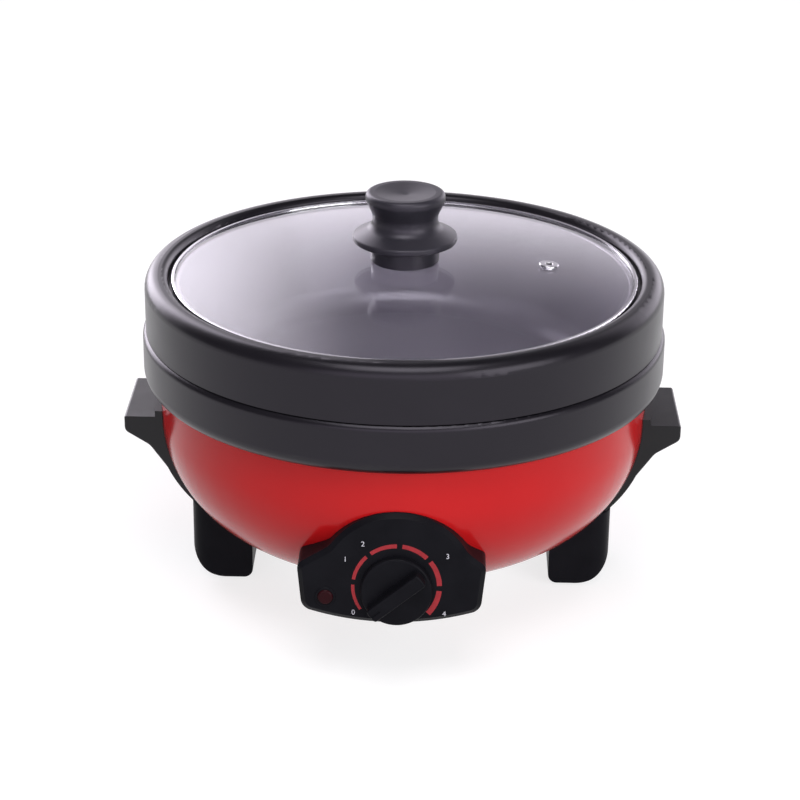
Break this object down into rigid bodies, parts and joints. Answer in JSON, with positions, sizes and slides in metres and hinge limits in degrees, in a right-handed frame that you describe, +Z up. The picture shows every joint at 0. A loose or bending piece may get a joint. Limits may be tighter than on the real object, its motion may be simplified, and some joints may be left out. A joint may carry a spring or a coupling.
{
  "type": "electric curry cooker",
  "caption": "Round electric cooker: red bowl base with black collar, side handles, feet and a front dial, a lift-out non-stick pan and a loose glass lid with a knob.",
  "frame": {"origin": "on the table, under the axis of the pan", "axes": "+Z up along the pan's axis, +X to the right from handle to handle, the control panel faces -Y"},
  "size_m": [0.361, 0.3525, 0.2604],
  "materials": {
    "red_enamel": "gloss red enamel on steel",
    "collar_black": "satin charcoal heat-resistant plastic",
    "nonstick": "satin charcoal non-stick coating on aluminium",
    "lid_glass": "clear tempered glass",
    "bright_steel": "bright steel",
    "handle_black": "satin black heat-resistant plastic",
    "silicone": "grey silicone",
    "pad_rubber": "black rubber",
    "screw_steel": "zinc-plated steel",
    "sheet_steel": "plain galvanised sheet",
    "cast_aluminium": "cast aluminium with a machined top",
    "element_steel": "heat-tinted steel sheath",
    "lens_red": "clear red plastic",
    "lamp": "clear glass",
    "phenolic": "brown phenolic",
    "brass": "plain brass",
    "inlet_black": "black thermoset plastic",
    "fuse_white": "white ceramic-filled plastic",
    "wire_live": "brown silicone insulation",
    "wire_neutral": "blue silicone insulation",
    "wire_earth": "green silicone insulation"
  },
  "bodies": {
    "base": {"outer_shell": "red_enamel", "collar_ring": "collar_black", "heat_shield": "sheet_steel", "flange_screws": "screw_steel", "heater_plate": "cast_aluminium", "heating_element": "element_steel", "heater_posts": "screw_steel", "heater_screws": "screw_steel", "control_panel": "handle_black", "panel_screws": "screw_steel", "indicator_bezel": "handle_black", "indicator_lens": "lens_red", "indicator_lamp": "lamp", "thermostat_bracket": "screw_steel", "thermostat_body": "phenolic", "thermostat_tabs": "brass", "thermostat_screws": "screw_steel", "sensor_bulb": "brass", "bulb_clip": "screw_steel", "capillary_tube": "brass", "handle_right": "handle_black", "handle_left": "handle_black", "handle_screws": "screw_steel", "foot_right": "handle_black", "foot_left": "handle_black", "foot_screws": "screw_steel", "foot_pad_left_front": "pad_rubber", "foot_pad_left_back": "pad_rubber", "foot_pad_right_front": "pad_rubber", "foot_pad_right_back": "pad_rubber", "bottom_cover": "sheet_steel", "bottom_screws": "screw_steel", "inlet_housing": "handle_black", "inlet_screws": "screw_steel", "inlet_socket": "inlet_black", "inlet_blades": "brass", "thermal_fuse": "fuse_white", "live_wire": "wire_live", "fuse_wire": "wire_live", "heater_wire": "wire_live", "neutral_wire": "wire_neutral", "earth_wire": "wire_earth"},
    "pan": {"cooking_pan": "nonstick"},
    "lid": {"lid_glass": "lid_glass", "lid_rim_ring": "bright_steel", "vent_eyelet": "bright_steel", "knob_seal_washer": "silicone", "knob_base": "handle_black", "lid_knob": "handle_black", "knob_screw": "screw_steel"},
    "control": {"thermostat_shaft": "screw_steel", "control_knob": "handle_black"}
  },
  "joints": [
    {"name": "pan_lift", "type": "slide", "parent": "base", "child": "pan", "axis": [0, 0, 1], "range_m": [0, 0.12]},
    {"name": "lid_lift", "type": "slide", "parent": "pan", "child": "lid", "axis": [0, 0, 1], "range_m": [0, 0.15]},
    {"name": "knob_turn", "type": "hinge", "parent": "base", "child": "control", "pos_m": [0, -0.1668, 0.0639], "axis": [0, 0.9962, -0.0872], "range_deg": [0, 255]}
  ]
}
